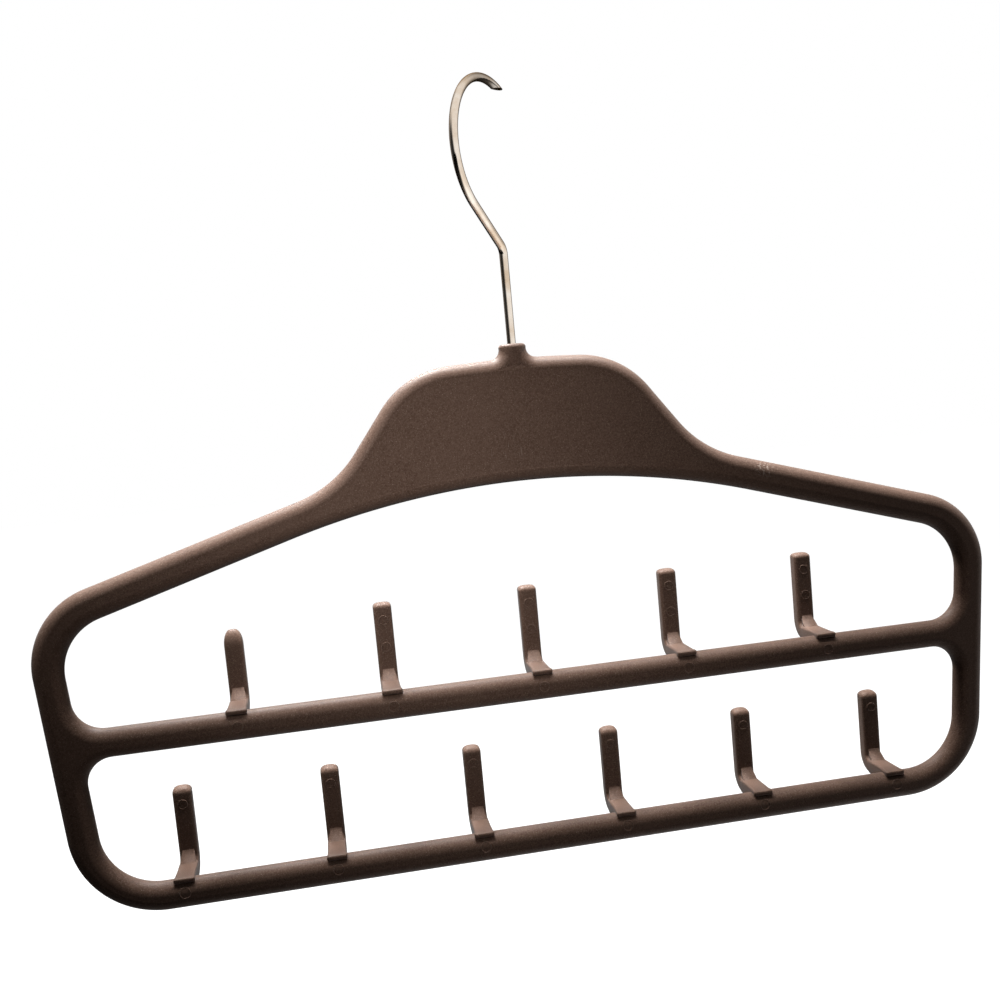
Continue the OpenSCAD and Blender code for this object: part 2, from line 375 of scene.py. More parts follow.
@dataclass(frozen=True)
class PlatedWire:
    """Bright warm plating on drawn wire.

    Args:
        bright: Colour of the clean plating.
        dull: Colour where the plating has dulled.
        edge: Tint of the plating seen edge on.
        cloud: The pattern of the dulled places.
        draw: The fine lines that drawing left along the wire.
        relief: Depth in metres and strength of the lines' relief.
        rough: Two heights of the dulled places' pattern, and the roughness at them.
    """

    bright: Colour = (0.88, 0.80, 0.71)
    dull: Colour = (0.64, 0.49, 0.35)
    edge: Colour = (0.22, 0.13, 0.06)
    cloud: Pattern = Pattern(120.0, 4.0, (0.36, 0.68), 0.9)
    draw: Pattern = Pattern(1.0, 3.0, stretch=(2600.0, 240.0))
    relief: Point = (0.00002, 0.06)
    rough: tuple[Point, Point] = ((0.3, 0.8), (0.10, 0.24))

    def make(self) -> bpy.types.Material:
        """Wires the finish.

        Returns:
            The finish as a material.
        """
        graph = Graph(bpy.data.materials.new("warm_plated_wire"))
        cloud = graph.noise(self.cloud)
        shader = graph.node(
            "ShaderNodeBsdfPrincipled",
            Base_Color=graph.blend(graph.fade(cloud, self.cloud), self.bright, self.dull),
            Metallic=1.0,
            Roughness=graph.span(cloud, *self.rough),
            Normal=graph.bump(graph.noise(self.draw), self.relief),
            Specular_Tint=(*self.edge, 1.0),
        )
        return graph.finish(shader)


def pick(*pieces: Object) -> None:
    """Selects only the given pieces.

    Args:
        *pieces: The pieces, the first of which becomes the active one.
    """
    bpy.ops.object.select_all(action="DESELECT")
    for piece in pieces:
        piece.select_set(True)
    bpy.context.view_layer.objects.active = pieces[0]


def join(name: str, pieces: list[Object]) -> Object:
    """Joins objects into one.

    Args:
        name: Name of the joined object.
        pieces: The objects, the first of which takes in the others.

    Returns:
        The joined object.
    """
    pick(*pieces)
    bpy.ops.object.join()
    pieces[0].name = name
    return pieces[0]


def copied(piece: Object, name: str, across: float) -> Object:
    """Copies a piece along the bar.

    Args:
        piece: The piece to copy.
        name: Name of the copy.
        across: Distance from the piece to its copy in millimetres.

    Returns:
        The copy, with its own mesh and its place in it.
    """
    pick(piece)
    bpy.ops.object.duplicate(linked=False)
    twin = bpy.context.object
    twin.name = name
    twin.location.x += across * MM
    bpy.ops.object.transform_apply(location=True, rotation=False, scale=False)
    return twin


def leave_edit(crease: float) -> None:
    """Turns the edited faces outwards, leaves edit mode and smooths the shading.

    Args:
        crease: Steepest angle in degrees that is shaded smoothly.
    """
    bpy.ops.mesh.select_all(action="SELECT")
    bpy.ops.mesh.normals_make_consistent(inside=False)
    bpy.ops.object.mode_set(mode="OBJECT")
    bpy.ops.object.shade_smooth_by_angle(angle=math.radians(crease))


class Sheath:
    """A skin drawn ring by ring: a circle is placed, and its edge is extruded from ring to ring."""

    def __init__(self, name: str, rings: list[Ring]) -> None:
        """Draws the skin, still open at both ends.

        Args:
            name: Name of the object.
            rings: Points of each ring, in metres.
        """
        bpy.ops.object.select_all(action="DESELECT")
        bpy.ops.mesh.primitive_circle_add(vertices=len(rings[0]), radius=MM, fill_type="NOTHING")
        self.piece = bpy.context.object
        self.piece.name = name
        bpy.ops.object.mode_set(mode="EDIT")
        bpy.ops.mesh.select_all(action="SELECT")
        self.first = self.ring = self.walk()
        self.move(rings[0])
        for places in rings[1:]:
            self.extrude()
            self.move(places)

    def net(self) -> bmesh.types.BMesh:
        """Reads the edit mesh.

        Returns:
            The mesh, with fresh indices.
        """
        net = bmesh.from_edit_mesh(self.piece.data)
        net.verts.ensure_lookup_table()
        net.verts.index_update()
        return net

    def walk(self) -> list[int]:
        """Walks round the first circle.

        Returns:
            The indices of its points in walking order.
        """
        verts = self.net().verts
        ring = [verts[0], verts[0].link_edges[0].other_vert(verts[0])]
        while len(ring) < len(verts):
            beside = [edge.other_vert(ring[-1]) for edge in ring[-1].link_edges]
            ring.append(next(vert for vert in beside if vert is not ring[-2]))
        return [vert.index for vert in ring]

    def move(self, places: Ring) -> None:
        """Moves the open ring's points to their places.

        Args:
            places: The places in walking order.
        """
        verts = self.net().verts
        for index, place in zip(self.ring, places, strict=True):
            verts[index].co = place

    def extrude(self) -> None:
        """Extrudes the open edge and takes the new ring as the open one."""
        count = len(self.net().verts)
        bpy.ops.mesh.extrude_edges_move()
        verts = self.net().verts
        ring = []
        for vert in (verts[index] for index in self.ring):
            beside = [edge.other_vert(vert).index for edge in vert.link_edges]
            ring.append(next(index for index in beside if index >= count))
        self.ring = ring

    def cap(self, ring: list[int]) -> None:
        """Closes an open ring with a face.

        Args:
            ring: The indices of its points.
        """
        bpy.ops.mesh.select_all(action="DESELECT")
        for vert in (self.net().verts[index] for index in ring):
            for edge in vert.link_edges:
                if edge.other_vert(vert).index in ring:
                    edge.select_set(True)
        bmesh.update_edit_mesh(self.piece.data)
        bpy.ops.mesh.edge_face_add()

    def done(self, crease: float, closed: bool = True) -> Object:
        """Closes the skin's ends where it has to be closed, and leaves edit mode.

        Args:
            crease: Steepest angle in degrees that is shaded smoothly.
            closed: Whether the ends are closed.

        Returns:
            The finished object.
        """
        for ring in (self.first, self.ring) if closed else ():
            self.cap(ring)
        leave_edit(crease)
        return self.piece


@dataclass(frozen=True)
class RingMark:
    """The faint ring that an ejector pin leaves on a front, in millimetres.

    Args:
        radius: Radius of the ring.
        bead: Radius of its bead.
        proud: How far the bead's middle stands before the front.
        sides: Number of steps round the ring, and round the bead.
    """

    radius: float = 2.0
    bead: float = 0.19
    proud: float = 0.03
    sides: tuple[int, int] = (48, 8)

    def build(self, x: float, z: float, front: Callable[[float], float]) -> Object:
        """Models the ring and lays it on the front.

        Args:
            x: Place across.
            z: Height of its centre.
            front: Gives how far forward the surface lies at a height.

        Returns:
            The ring.
        """
        bpy.ops.object.select_all(action="DESELECT")
        bpy.ops.mesh.primitive_torus_add(
            major_radius=self.radius * MM,
            minor_radius=self.bead * MM,
            major_segments=self.sides[0],
            minor_segments=self.sides[1],
            rotation=(math.radians(90), 0, 0),
        )
        ring = bpy.context.object
        bpy.ops.object.transform_apply(location=True, rotation=True, scale=True)
        for vertex in ring.data.vertices:
            across, back, up = vertex.co / MM
            vertex.co = LEVELS.place(x + across, back - front(z + up) - self.proud, z + up)
        bpy.ops.object.shade_smooth()
        return ring


@dataclass(frozen=True)
class Station:
    """One rounded rectangular section of a peg, in millimetres.

    Args:
        back: How far behind the frame's middle plane its centre lies.
        up: Height of its centre over the bar.
        turn: Its turn from flat, in degrees.
        half_width: Half its size across.
        half_depth: Half its other size.
        rounding: Radius of its corners.
    """

    back: float
    up: float
    turn: float
    half_width: float
    half_depth: float
    rounding: float


@dataclass(frozen=True)
class Peg:
    """One upright peg: front tab, root in the bar, foot, bend with its web, and upright.

    Args:
        width: Width across the bar; like all sizes here, in millimetres.
        depth: Depth of the upright.
        round: Rounding of the long edges.
        top_round: Rounding of the top edges.
        top_reach: Height over which a worn top tapers, or 0 for an even rounding.
        reach: Distance from the frame's middle plane to the upright's front.
        foot: Height of the foot's top over the bar.
        bend: Radius inside the bend.
        tab: Thickness and width of the front tab.
        setback: Distance of the tab's front from the middle plane.
        nose: Sections of the tab: distance behind its front, how much narrower, how much thinner.
        root: Sections of the root: distance behind the middle plane, depth below the bar's top,
            how much narrower than the tab.
        foot_shares: Places of the foot's sections along its way from the root to the bend.
        swell: How much the foot narrows on that way, and the power with which it gets shallower.
        roundings: Edge rounding of the tab, the root and the foot.
        plain: Places of the upright's plain sections: over the bend, under the top, and under
            the rounding of the top.
        steps: Number of steps in a corner, in the bend and in the top's rounding.
        fullest: Greatest share of a half size that a corner takes.
        web: Sections of the web in the bend: distance behind the upright's front, height over
            the foot, half width.
        web_edge: Bevel of the web's edges, and how far its inner edges lie back and down.
        creases: Steepest angles in degrees shaded smoothly on the body and on the web.
        mark: Radius of the ejector marks.
    """

    width: float = 7.3
    depth: float = 6.2
    round: float = 1.65
    top_round: float = 1.5
    top_reach: float = 0.0
    reach: float = 14.7
    foot: float = 1.4
    bend: float = 1.8
    tab: Point = (2.0, 8.0)
    setback: float = 4.0
    nose: tuple[Place, ...] = (
        (0.0, 0.62, 0.558), (0.12, 0.30, 0.27), (0.36, 0.10, 0.09),
        (0.7, 0.0, 0.0), (1.8, 0.05, 0.0),
    )
    root: tuple[Place, ...] = ((-1.2, 3.0, 0.2), (3.2, 6.6, 0.35), (4.5, 7.4, 0.40))
    foot_shares: tuple[float, ...] = (0.35, 0.7, 1.0)
    swell: Point = (0.02, 0.9)
    roundings: Place = (0.6, 0.9, 1.1)
    plain: Place = (6.0, 9.0, 0.6)
    steps: tuple[int, int, int] = (6, 12, 7)
    fullest: float = 0.98
    web: tuple[Place, ...] = (
        (-4.4, -0.25, 3.1), (-3.7, 0.22, 3.0), (-2.0, 1.84, 2.75),
        (-0.35, 3.44, 2.35), (0.3, 4.48, 2.2),
    )
    web_edge: Place = (0.25, 0.8, 1.4)
    creases: Point = (42.0, 50.0)
    mark: float = 1.8

    def level(self, back: float, depth: float, half_width: float, rounding: float) -> Station:
        """Returns a level section from the foot's top down to a depth below the bar's top."""
        middle, half = (self.foot - depth) / 2, (self.foot + depth) / 2
        return Station(back, middle, 0.0, half_width, half, rounding)

    def stations(self, rise: float) -> list[Station]:
        """Lists the sections from the tab's front to the upright's top.

        Args:
            rise: Height of the peg's top over the bar.

        Returns:
            The sections.
        """
        thick, wide = self.tab
        half, thin = self.width / 2, self.depth / 2
        tab_rounding, root_rounding, foot_rounding = self.roundings
        listed = []
        for back, narrower, thinner in self.nose:
            sizes = (wide / 2 - narrower, thick / 2 - thinner, tab_rounding)
            listed.append(Station(back - self.setback, self.foot - thick / 2, 0.0, *sizes))
        for back, depth, narrower in self.root:
            listed.append(self.level(back, depth, wide / 2 - narrower, root_rounding))
        start, deepest, _ = self.root[-1]
        bend_y, bend_z = self.reach - self.bend, self.foot + self.bend
        shallower = deepest - (self.bend + self.depth - bend_z)
        narrowing, power = self.swell
        for share in self.foot_shares:
            depth = deepest - shallower * math.sin(math.radians(90 * share)) ** power
            place = start + (bend_y - start) * share
            listed.append(self.level(place, depth, half - narrowing * share, foot_rounding))
        for k in range(1, self.steps[1] + 1):
            turn = 90 * k / self.steps[1]
            y = bend_y + (self.bend + thin) * math.sin(math.radians(turn))
            z = bend_z - (self.bend + thin) * math.cos(math.radians(turn))
            listed.append(Station(y, z, turn, half, thin, self.round))
        back = self.reach + thin
        taper = max(self.top_round, self.top_reach)
        over_bend, under_top, under_rounding = self.plain
        for z in (bend_z + over_bend, rise - under_top, rise - taper - under_rounding):
            listed.append(Station(back, z, 90.0, half, thin, self.round))
        for k in range(self.steps[2] + 1):
            turn = math.radians(90 * k / self.steps[2])
            inset = self.top_round * (1 - math.cos(turn))
            z = rise - taper + taper * math.sin(turn)
            listed.append(Station(back, z, 90.0, half - inset, thin - inset, self.round))
        return listed

    def section(self, station: Station) -> list[Point]:
        """Draws a section's rounded rectangle.

        Args:
            station: The section.

        Returns:
            Its points: across, and outward from the peg's inner side.
        """
        wide, thin, steps = station.half_width, station.half_depth, self.steps[0]
        rounding = min(station.rounding, wide * self.fullest, thin * self.fullest)
        points = []
        for quarter in range(4):
            across = (wide - rounding) * (1 if quarter in (0, 3) else -1)
            out = (thin - rounding) * (1 if quarter < 2 else -1)
            for k in range(steps + 1):
                a = math.radians(90 * quarter + 90 * k / steps)
                points.append((across + rounding * math.cos(a), out + rounding * math.sin(a)))
        return points

    def wedge(self, x: float, bar: float) -> Object:
        """Models the web inside the bend as a bevelled wedge.

        Args:
            x: Its place across.
            bar: Height of the bar's top.

        Returns:
            The web.
        """
        bevel, back, down = self.web_edge
        rings = []
        for behind, up, half in self.web:
            y, z = self.reach + behind, bar + self.foot + up
            top = ((-half, -bevel), (bevel - half, 0.0), (half - bevel, 0.0), (half, -bevel))
            ring = [LEVELS.place(x + across, y, z + rise) for across, rise in top]
            ring += [LEVELS.place(x + across, y + back, z - down) for across in (half, -half)]
            rings.append(ring)
        return Sheath("wedge", rings).done(self.creases[1])

    def upright_front(self, _: float) -> float:
        """Returns how far forward the upright's front lies, the same at each height."""
        return -self.reach

    def build(self, name: str, x: float, bar: float, rise: float, marks: Depths) -> Object:
        """Models one peg in its place.

        Args:
            name: Name of the object.
            x: Its place across.
            bar: Height of the bar's top.
            rise: Rise of the peg over the bar.
            marks: Depths of its ejector marks below its top.

        Returns:
            The peg.
        """
        rings = []
        for station in self.stations(rise):
            turn = math.radians(station.turn)
            ring = []
            for across, out in self.section(station):
                y = station.back + out * math.sin(turn)
                ring.append(LEVELS.place(x + across, y, bar + station.up - out * math.cos(turn)))
            rings.append(ring)
        parts = [Sheath(name, rings).done(self.creases[0]), self.wedge(x, bar)]
        for depth in marks:
            parts.append(RingMark(self.mark).build(x, bar + rise - depth, self.upright_front))
        return join(name, parts)


@dataclass(frozen=True)
class PegRow:
    """The pegs along one bar, in millimetres.

    Args:
        label: Word for the row in the names of its pegs.
        bar: Height of the bar's top.
        count: Number of pegs.
        pitch: Distance between pegs.
        rise: Rise of the pegs over their bar.
        drop: Depth of the bar's ejector marks below its top.
        top_round: Rounding of the pegs' tops.
        peg_marks: Depths of the ejector marks below the pegs' tops.
        worn_top: Rounding and taper of the first peg's worn tip and how much lower it ends, or
            nothing where it is like the others.
    """

    label: str
    bar: float
    count: int
    pitch: float
    rise: float
    drop: float
    top_round: float
    peg_marks: Depths
    worn_top: tuple[float, ...] = ()

    @property
    def places(self) -> list[float]:
        """The places across of the pegs, from the left."""
        return [(i - (self.count - 1) / 2) * self.pitch for i in range(self.count)]

    def name(self, i: int) -> str:
        """Returns the name of one peg, counted from 0 at the left."""
        return f"{self.label}_peg_piece_{i + 1}"

    def build(self) -> list[Object]:
        """Models one peg and copies it along the bar.

        Returns:
            The pegs from left to right.
        """
        places, pegs = self.places, []
        if self.worn_top:
            rounding, taper, drop = self.worn_top
            worn = Peg(top_round=rounding, top_reach=taper)
            pegs.append(worn.build(self.name(0), places[0], self.bar, self.rise - drop, ()))
        first = len(pegs)
        peg, name = Peg(top_round=self.top_round), self.name(first)
        pegs.append(peg.build(name, places[first], self.bar, self.rise, self.peg_marks))
        for i in range(first + 1, self.count):
            pegs.append(copied(pegs[first], self.name(i), places[i] - places[first]))
        return pegs


@dataclass(frozen=True)
class Corner:
    """A vertex of an outline, in millimetres.

    Args:
        x: Its place across.
        z: Its height.
        radius: The radius that rounds it.
    """

    x: float
    z: float
    radius: float


@dataclass(frozen=True)
class Outline:
    """A closed outline of straight runs and round corners, walked anticlockwise.

    Args:
        corners: The vertices in order.
        step: Greatest distance between points on a bend, in millimetres.
        fewest: Least number of steps on a bend.
    """

    corners: list[Corner]
    step: float = 1.1
    fewest: int = 3

    def walk(self, distance: float) -> list[tuple[Vector, Vector]]:
        """Walks along the outline.

        Args:
            distance: How far outward the walk lies from the outline.

        Returns:
            Each point with its outward normal, as 2D vectors.
        """
        walked = []
        for i, corner in enumerate(self.corners):
            here = Vector((corner.x, corner.z))
            before, after = self.corners[i - 1], self.corners[(i + 1) % len(self.corners)]
            inward = (here - Vector((before.x, before.z))).normalized()
            outward = (Vector((after.x, after.z)) - here).normalized()
            turn = math.atan2(inward.cross(outward), inward.dot(outward))
            reach = corner.radius * math.tan(abs(turn) / 2)
            side = math.copysign(1.0, turn)
            left = Vector((-inward.y, inward.x))
            centre = here - inward * reach + left * corner.radius * side
            bends = max(self.fewest, math.ceil(abs(turn) * corner.radius / self.step))
            for k in range(bends + 1):
                normal = Matrix.Rotation(turn * k / bends, 2) @ -left
                walked.append((centre + normal * corner.radius * side + normal * distance, normal))
        return walked


def meet(first: Point, second: Point) -> Point:
    """Finds where two lines meet.

    Args:
        first: Outward angle in degrees and distance of the first line.
        second: The same of the second line.

    Returns:
        Place across and height of the point.
    """
    (a, p), (b, q) = first, second
    turn = math.sin(math.radians(b - a))
    cos_a, sin_a = math.cos(math.radians(a)), math.sin(math.radians(a))
    cos_b, sin_b = math.cos(math.radians(b)), math.sin(math.radians(b))
    return (p * sin_b - q * sin_a) / turn, (q * cos_a - p * cos_b) / turn


def mirrored(half: list[Corner]) -> list[Corner]:
    """Returns a right half, from the bottom up, with its mirror image after it."""
    return half + [Corner(-c.x, c.z, c.radius) for c in reversed(half) if c.x > 0]


@dataclass(frozen=True)
class Moulding:
    """The moulded frame: panel, arms, legs, crossbar and lower bar, with the boss for the hook.

    Args:
        width: Overall width; like all sizes here, in millimetres.
        crown: Height of the panel's crown.
        edge: Radius of the round edges, which is half the thickness.
        edge_steps: Number of steps round an edge.
        recess: Depth of the flat faces below the edges' crest.
        lip: How the recess fades into the edge: distance inward, and share of the recess.
        arm_slope: Slope of the arms in degrees.
        arm: Width of the arms.
        leg_lean: Lean of the legs in degrees.
        leg: Width of the legs.
        bar: Height of the bars.
        crossbar: Height of the crossbar's underside.
        shoulder: Radius of the shoulders, and the height of their centre.
        foot: Radius of the lower corners.
        panel_half: Half the width across the panel's upper corners.
        panel_foot: Height at which the panel's recess starts.
        panel_rise: Height over which it deepens.
        panel_side: How far beyond the upper corners it ends, and the width over which it fades.
        least: Least share of the recess.
        crown_slope: Slope of the crown in degrees.
        neck_slope: Slope of the panel's sides in degrees.
        panel_radii: Radii of the panel's upper corners and of the hollows beside them.
        arch: Radius of the arch over the upper window.
        window_radii: Window corner radii from the shoulder down.
        boss: Radius of the boss, its rise over the crown and its edge's rounding.
        boss_foot: Radii of the boss below its edge's rounding, and how far below they lie.
        boss_mouth: Radii of the bore's mouth, and their depths below the boss's top.
        boss_steps: Number of steps in the edge's rounding, and round the boss.
        hollow: Radius of the hollows beside the boss.
        web_sweep: Angle in degrees that a hollow's web sweeps.
        web_steps: Number of steps along and round a web.
        web_inset: How much thinner a web's edge is than the frame's.
        web_back: How deep a web's inner side lies, and its share of the edge's radius.
        creases: Steepest angles in degrees shaded smoothly on the frame, the boss and the webs.
        rows: The rows of pegs on the crossbar and on the lower bar.
    """

    width: float = 380.0
    crown: float = 197.0
    edge: float = 4.5
    edge_steps: int = 24
    recess: float = 0.035
    lip: tuple[Point, ...] = ((0.75, 1.0), (0.42, 1.0), (0.24, 0.8), (0.08, 0.2))
    arm_slope: float = 16.5
    arm: float = 12.3
    leg_lean: float = 4.15
    leg: float = 11.2
    bar: float = 11.0
    crossbar: float = 62.0
    shoulder: Point = (30.6, 96.7)
    foot: float = 34.4
    panel_half: float = 42.5
    panel_foot: float = 146.0
    panel_rise: float = 8.0
    panel_side: Point = (44.0, 26.0)
    least: float = 0.12
    crown_slope: float = 2.9
    neck_slope: float = 53.2
    panel_radii: Point = (35.8, 45.3)
    arch: float = 322.0
    window_radii: tuple[float, ...] = (20.8, 11.6, 10.2, 21.7)
    boss: Place = (5.3, 5.0, 1.4)
    boss_foot: tuple[Point, ...] = ((4.15, 10.5), (4.35, 8.0), (4.95, 3.0))
    boss_mouth: tuple[Point, ...] = ((2.22, 0.0), (2.1, 0.06), (1.75, 0.4), (1.75, 4.0))
    boss_steps: tuple[int, int] = (8, 72)
    hollow: float = 3.8
    web_sweep: float = 92.0
    web_steps: tuple[int, int] = (14, 20)
    web_inset: float = 0.05
    web_back: Point = (0.8, 0.96)
    creases: Place = (35.0, 40.0, 50.0)
    rows: tuple[PegRow, ...] = (
        PegRow(
            "upper", bar=73.0, count=5, pitch=59.2, rise=31.8, drop=5.2, top_round=1.7,
            peg_marks=(6.7, 17.6), worn_top=(2.7, 6.0, 3.6),
        ),
        PegRow(
            "lower", bar=11.0, count=6, pitch=57.9, rise=30.5, drop=4.2, top_round=2.4,
            peg_marks=(6.7,),
        ),
    )

    def tangent(self, angle: float) -> Point:
        """Finds the outer line that touches the right shoulder at an angle.

        Args:
            angle: Outward angle of the line in degrees.

        Returns:
            Its angle and its distance.
        """
        radius, height = self.shoulder
        a = math.radians(angle)
        return angle, (self.width / 2 - radius) * math.cos(a) + height * math.sin(a) + radius

    def outlines(self) -> list[Outline]:
        """Draws the moulding's outlines.

        Returns:
            The border, the window over the crossbar and the window under it.
        """
        leg, arm = self.tangent(-self.leg_lean), self.tangent(90 - self.arm_slope)
        corner_z = self.crown - self.panel_half * math.tan(math.radians(self.crown_slope))
        slope = math.radians(self.neck_slope)
        away = self.panel_half * math.sin(slope) + corner_z * math.cos(slope)
        border = [
            Corner(*meet(leg, (-90, 0)), self.foot),
            Corner(*meet(leg, arm), self.shoulder[0]),
            Corner(*meet((90 - self.neck_slope, away), arm), self.panel_radii[1]),
            Corner(self.panel_half, corner_z, self.panel_radii[0]),
            Corner(0, self.crown, self.width),
        ]
        leg, arm = (leg[0], leg[1] - self.leg), (arm[0], arm[1] - self.arm)
        upper = [
            Corner(*meet(leg, (-90, -self.crossbar - self.bar)), self.window_radii[1]),
            Corner(*meet(leg, arm), self.window_radii[0]),
            Corner(0, arm[1] / math.cos(math.radians(self.arm_slope)), self.arch),
        ]
        lower = [
            Corner(*meet(leg, (-90, -self.bar)), self.window_radii[3]),
            Corner(*meet(leg, (90, self.crossbar)), self.window_radii[2]),
        ]
        return [Outline(mirrored(half)) for half in (border, upper, lower)]

    def recess_at(self, place: Vector) -> float:
        """Works out how deep the flat face lies, as it fades out where the panel ends.

        Args:
            place: The place on the face.

        Returns:
            The depth.
        """
        beyond, fade = self.panel_side
        upward = (place.y - self.panel_foot) / self.panel_rise
        sideways = (self.panel_half + beyond - abs(place.x)) / fade
        return self.recess * min(1.0, max(self.least, min(upward, sideways)))

    def section(self, recess: float) -> list[Point]:
        """Draws the section of an edge from the front face round to the back face.

        Args:
            recess: Depth of the flat faces there.

        Returns:
            Its points: how far out from the edge's centre, and how far forward.
        """
        front = [(-inward, self.edge - share * recess) for inward, share in self.lip]
        turns = [math.radians(90 - 180 * k / self.edge_steps) for k in range(self.edge_steps + 1)]
        arc = [(self.edge * math.cos(a), self.edge * math.sin(a)) for a in turns]
        return front + arc + [(out, -forward) for out, forward in reversed(front)]

    def edge_skin(self, outline: Outline, facing: int) -> Object:
        """Draws the round edge along an outline.

        Args:
            outline: The outline of the moulding there.
            facing: 1 where the moulding lies inside the outline, -1 round a window.

        Returns:
            The edge, open at both faces.
        """
        spine = outline.walk(-self.edge * facing)
        sections = [self.section(self.recess_at(point)) for point, _ in spine]
        rings = []
        for k in range(len(sections[0])):
            ring = []
            for (point, normal), section in zip(spine, sections, strict=True):
                out, forward = section[k]
                place = point + normal * out * facing
                ring.append(LEVELS.place(place.x, -forward, place.y))
            rings.append(ring)
        return Sheath("edge", rings).done(self.creases[0], closed=False)

    def shell(self) -> Object:
        """Models the frame's edges and fills its two faces.

        Returns:
            The closed frame.
        """
        border, *windows = self.outlines()
        edges = [self.edge_skin(border, 1), *(self.edge_skin(window, -1) for window in windows)]
        shell = join("moulded_frame", edges)
        bpy.ops.object.mode_set(mode="EDIT")
        for side in (-1, 1):
            bpy.ops.mesh.select_all(action="DESELECT")
            for edge in bmesh.from_edit_mesh(shell.data).edges:
                if len(edge.link_faces) == 1 and edge.verts[0].co.y * side > 0:
                    edge.select_set(True)
            bmesh.update_edit_mesh(shell.data)
            bpy.ops.mesh.fill(use_beauty=True)
        leave_edit(self.creases[0])
        return shell

    def boss_turning(self) -> Object:
        """Turns the boss with the mouth of its bore.

        Returns:
            The boss.
        """
        radius, rise, edge = self.boss
        steps, sides = self.boss_steps
        top = self.crown + rise
        profile = [(out, top - edge - below) for out, below in self.boss_foot]
        for a in (math.radians(90 * k / steps) for k in range(steps + 1)):
            profile.append((radius - edge + edge * math.cos(a), top - edge + edge * math.sin(a)))
        profile += [(out, top - depth) for out, depth in self.boss_mouth]
        turns = [2 * math.pi * i / sides for i in range(sides)]
        rings = [
            [LEVELS.place(out * math.cos(a), out * math.sin(a), height) for a in turns]
            for out, height in profile
        ]
        return Sheath("boss", rings).done(self.creases[1])

    def hollow_webs(self) -> Object:
        """Models the rounded web that sweeps from the crown up to the boss, and mirrors it.

        Returns:
            Both webs.
        """
        reach = self.boss[0] + self.hollow
        crown = self.crown - reach * math.tan(math.radians(self.crown_slope))
        centre = Vector((reach, crown + self.hollow))
        along, around = self.web_steps
        inward, share = self.web_back
        thick = self.edge - self.web_inset
        rings = []
        for k in range(along + 1):
            a = math.radians(270 + self.crown_slope / 2 - self.web_sweep * k / along)
            out = Vector((math.cos(a), math.sin(a)))
            spine = centre + out * (self.hollow + self.edge)
            ring = []
            for t in (math.radians(180 * i / around - 90) for i in range(around + 1)):
                place = spine - out * thick * math.cos(t)
                ring.append(LEVELS.place(place.x, thick * math.sin(t), place.y))
            inner = spine + out * inward
            for side in (1, -1):
                ring.append(LEVELS.place(inner.x, self.edge * side * share, inner.y))
            rings.append(ring)
        web = Sheath("web", rings).done(self.creases[2])
        bpy.ops.object.modifier_add(type="MIRROR")
        web.modifiers[0].use_mirror_merge = False
        bpy.ops.object.modifier_apply(modifier=web.modifiers[0].name)
        return web

    def bar_front(self, height: float, bar_top: float) -> float:
        """Works out how far forward a bar's front lies.

        Args:
            height: The height on the bar.
            bar_top: Height of the bar's top.

        Returns:
            The distance from the middle plane.
        """
        above = height - (bar_top - self.edge)
        below = (bar_top - self.bar + self.edge) - height
        return math.sqrt(max(0.0, self.edge**2 - max(above, below, 0.0) ** 2))

    def build(self) -> Object:
        """Models the whole moulding but its pegs.

        Returns:
            The moulding.
        """
        parts = [self.shell(), self.boss_turning(), self.hollow_webs()]
        for row in self.rows:
            first, *others = row.places
            front = partial(self.bar_front, bar_top=row.bar)
            mark = RingMark().build(first, row.bar - row.drop, front)
            parts += [mark, *(copied(mark, "mark", x - first) for x in others)]
        return join("moulded_frame", parts)


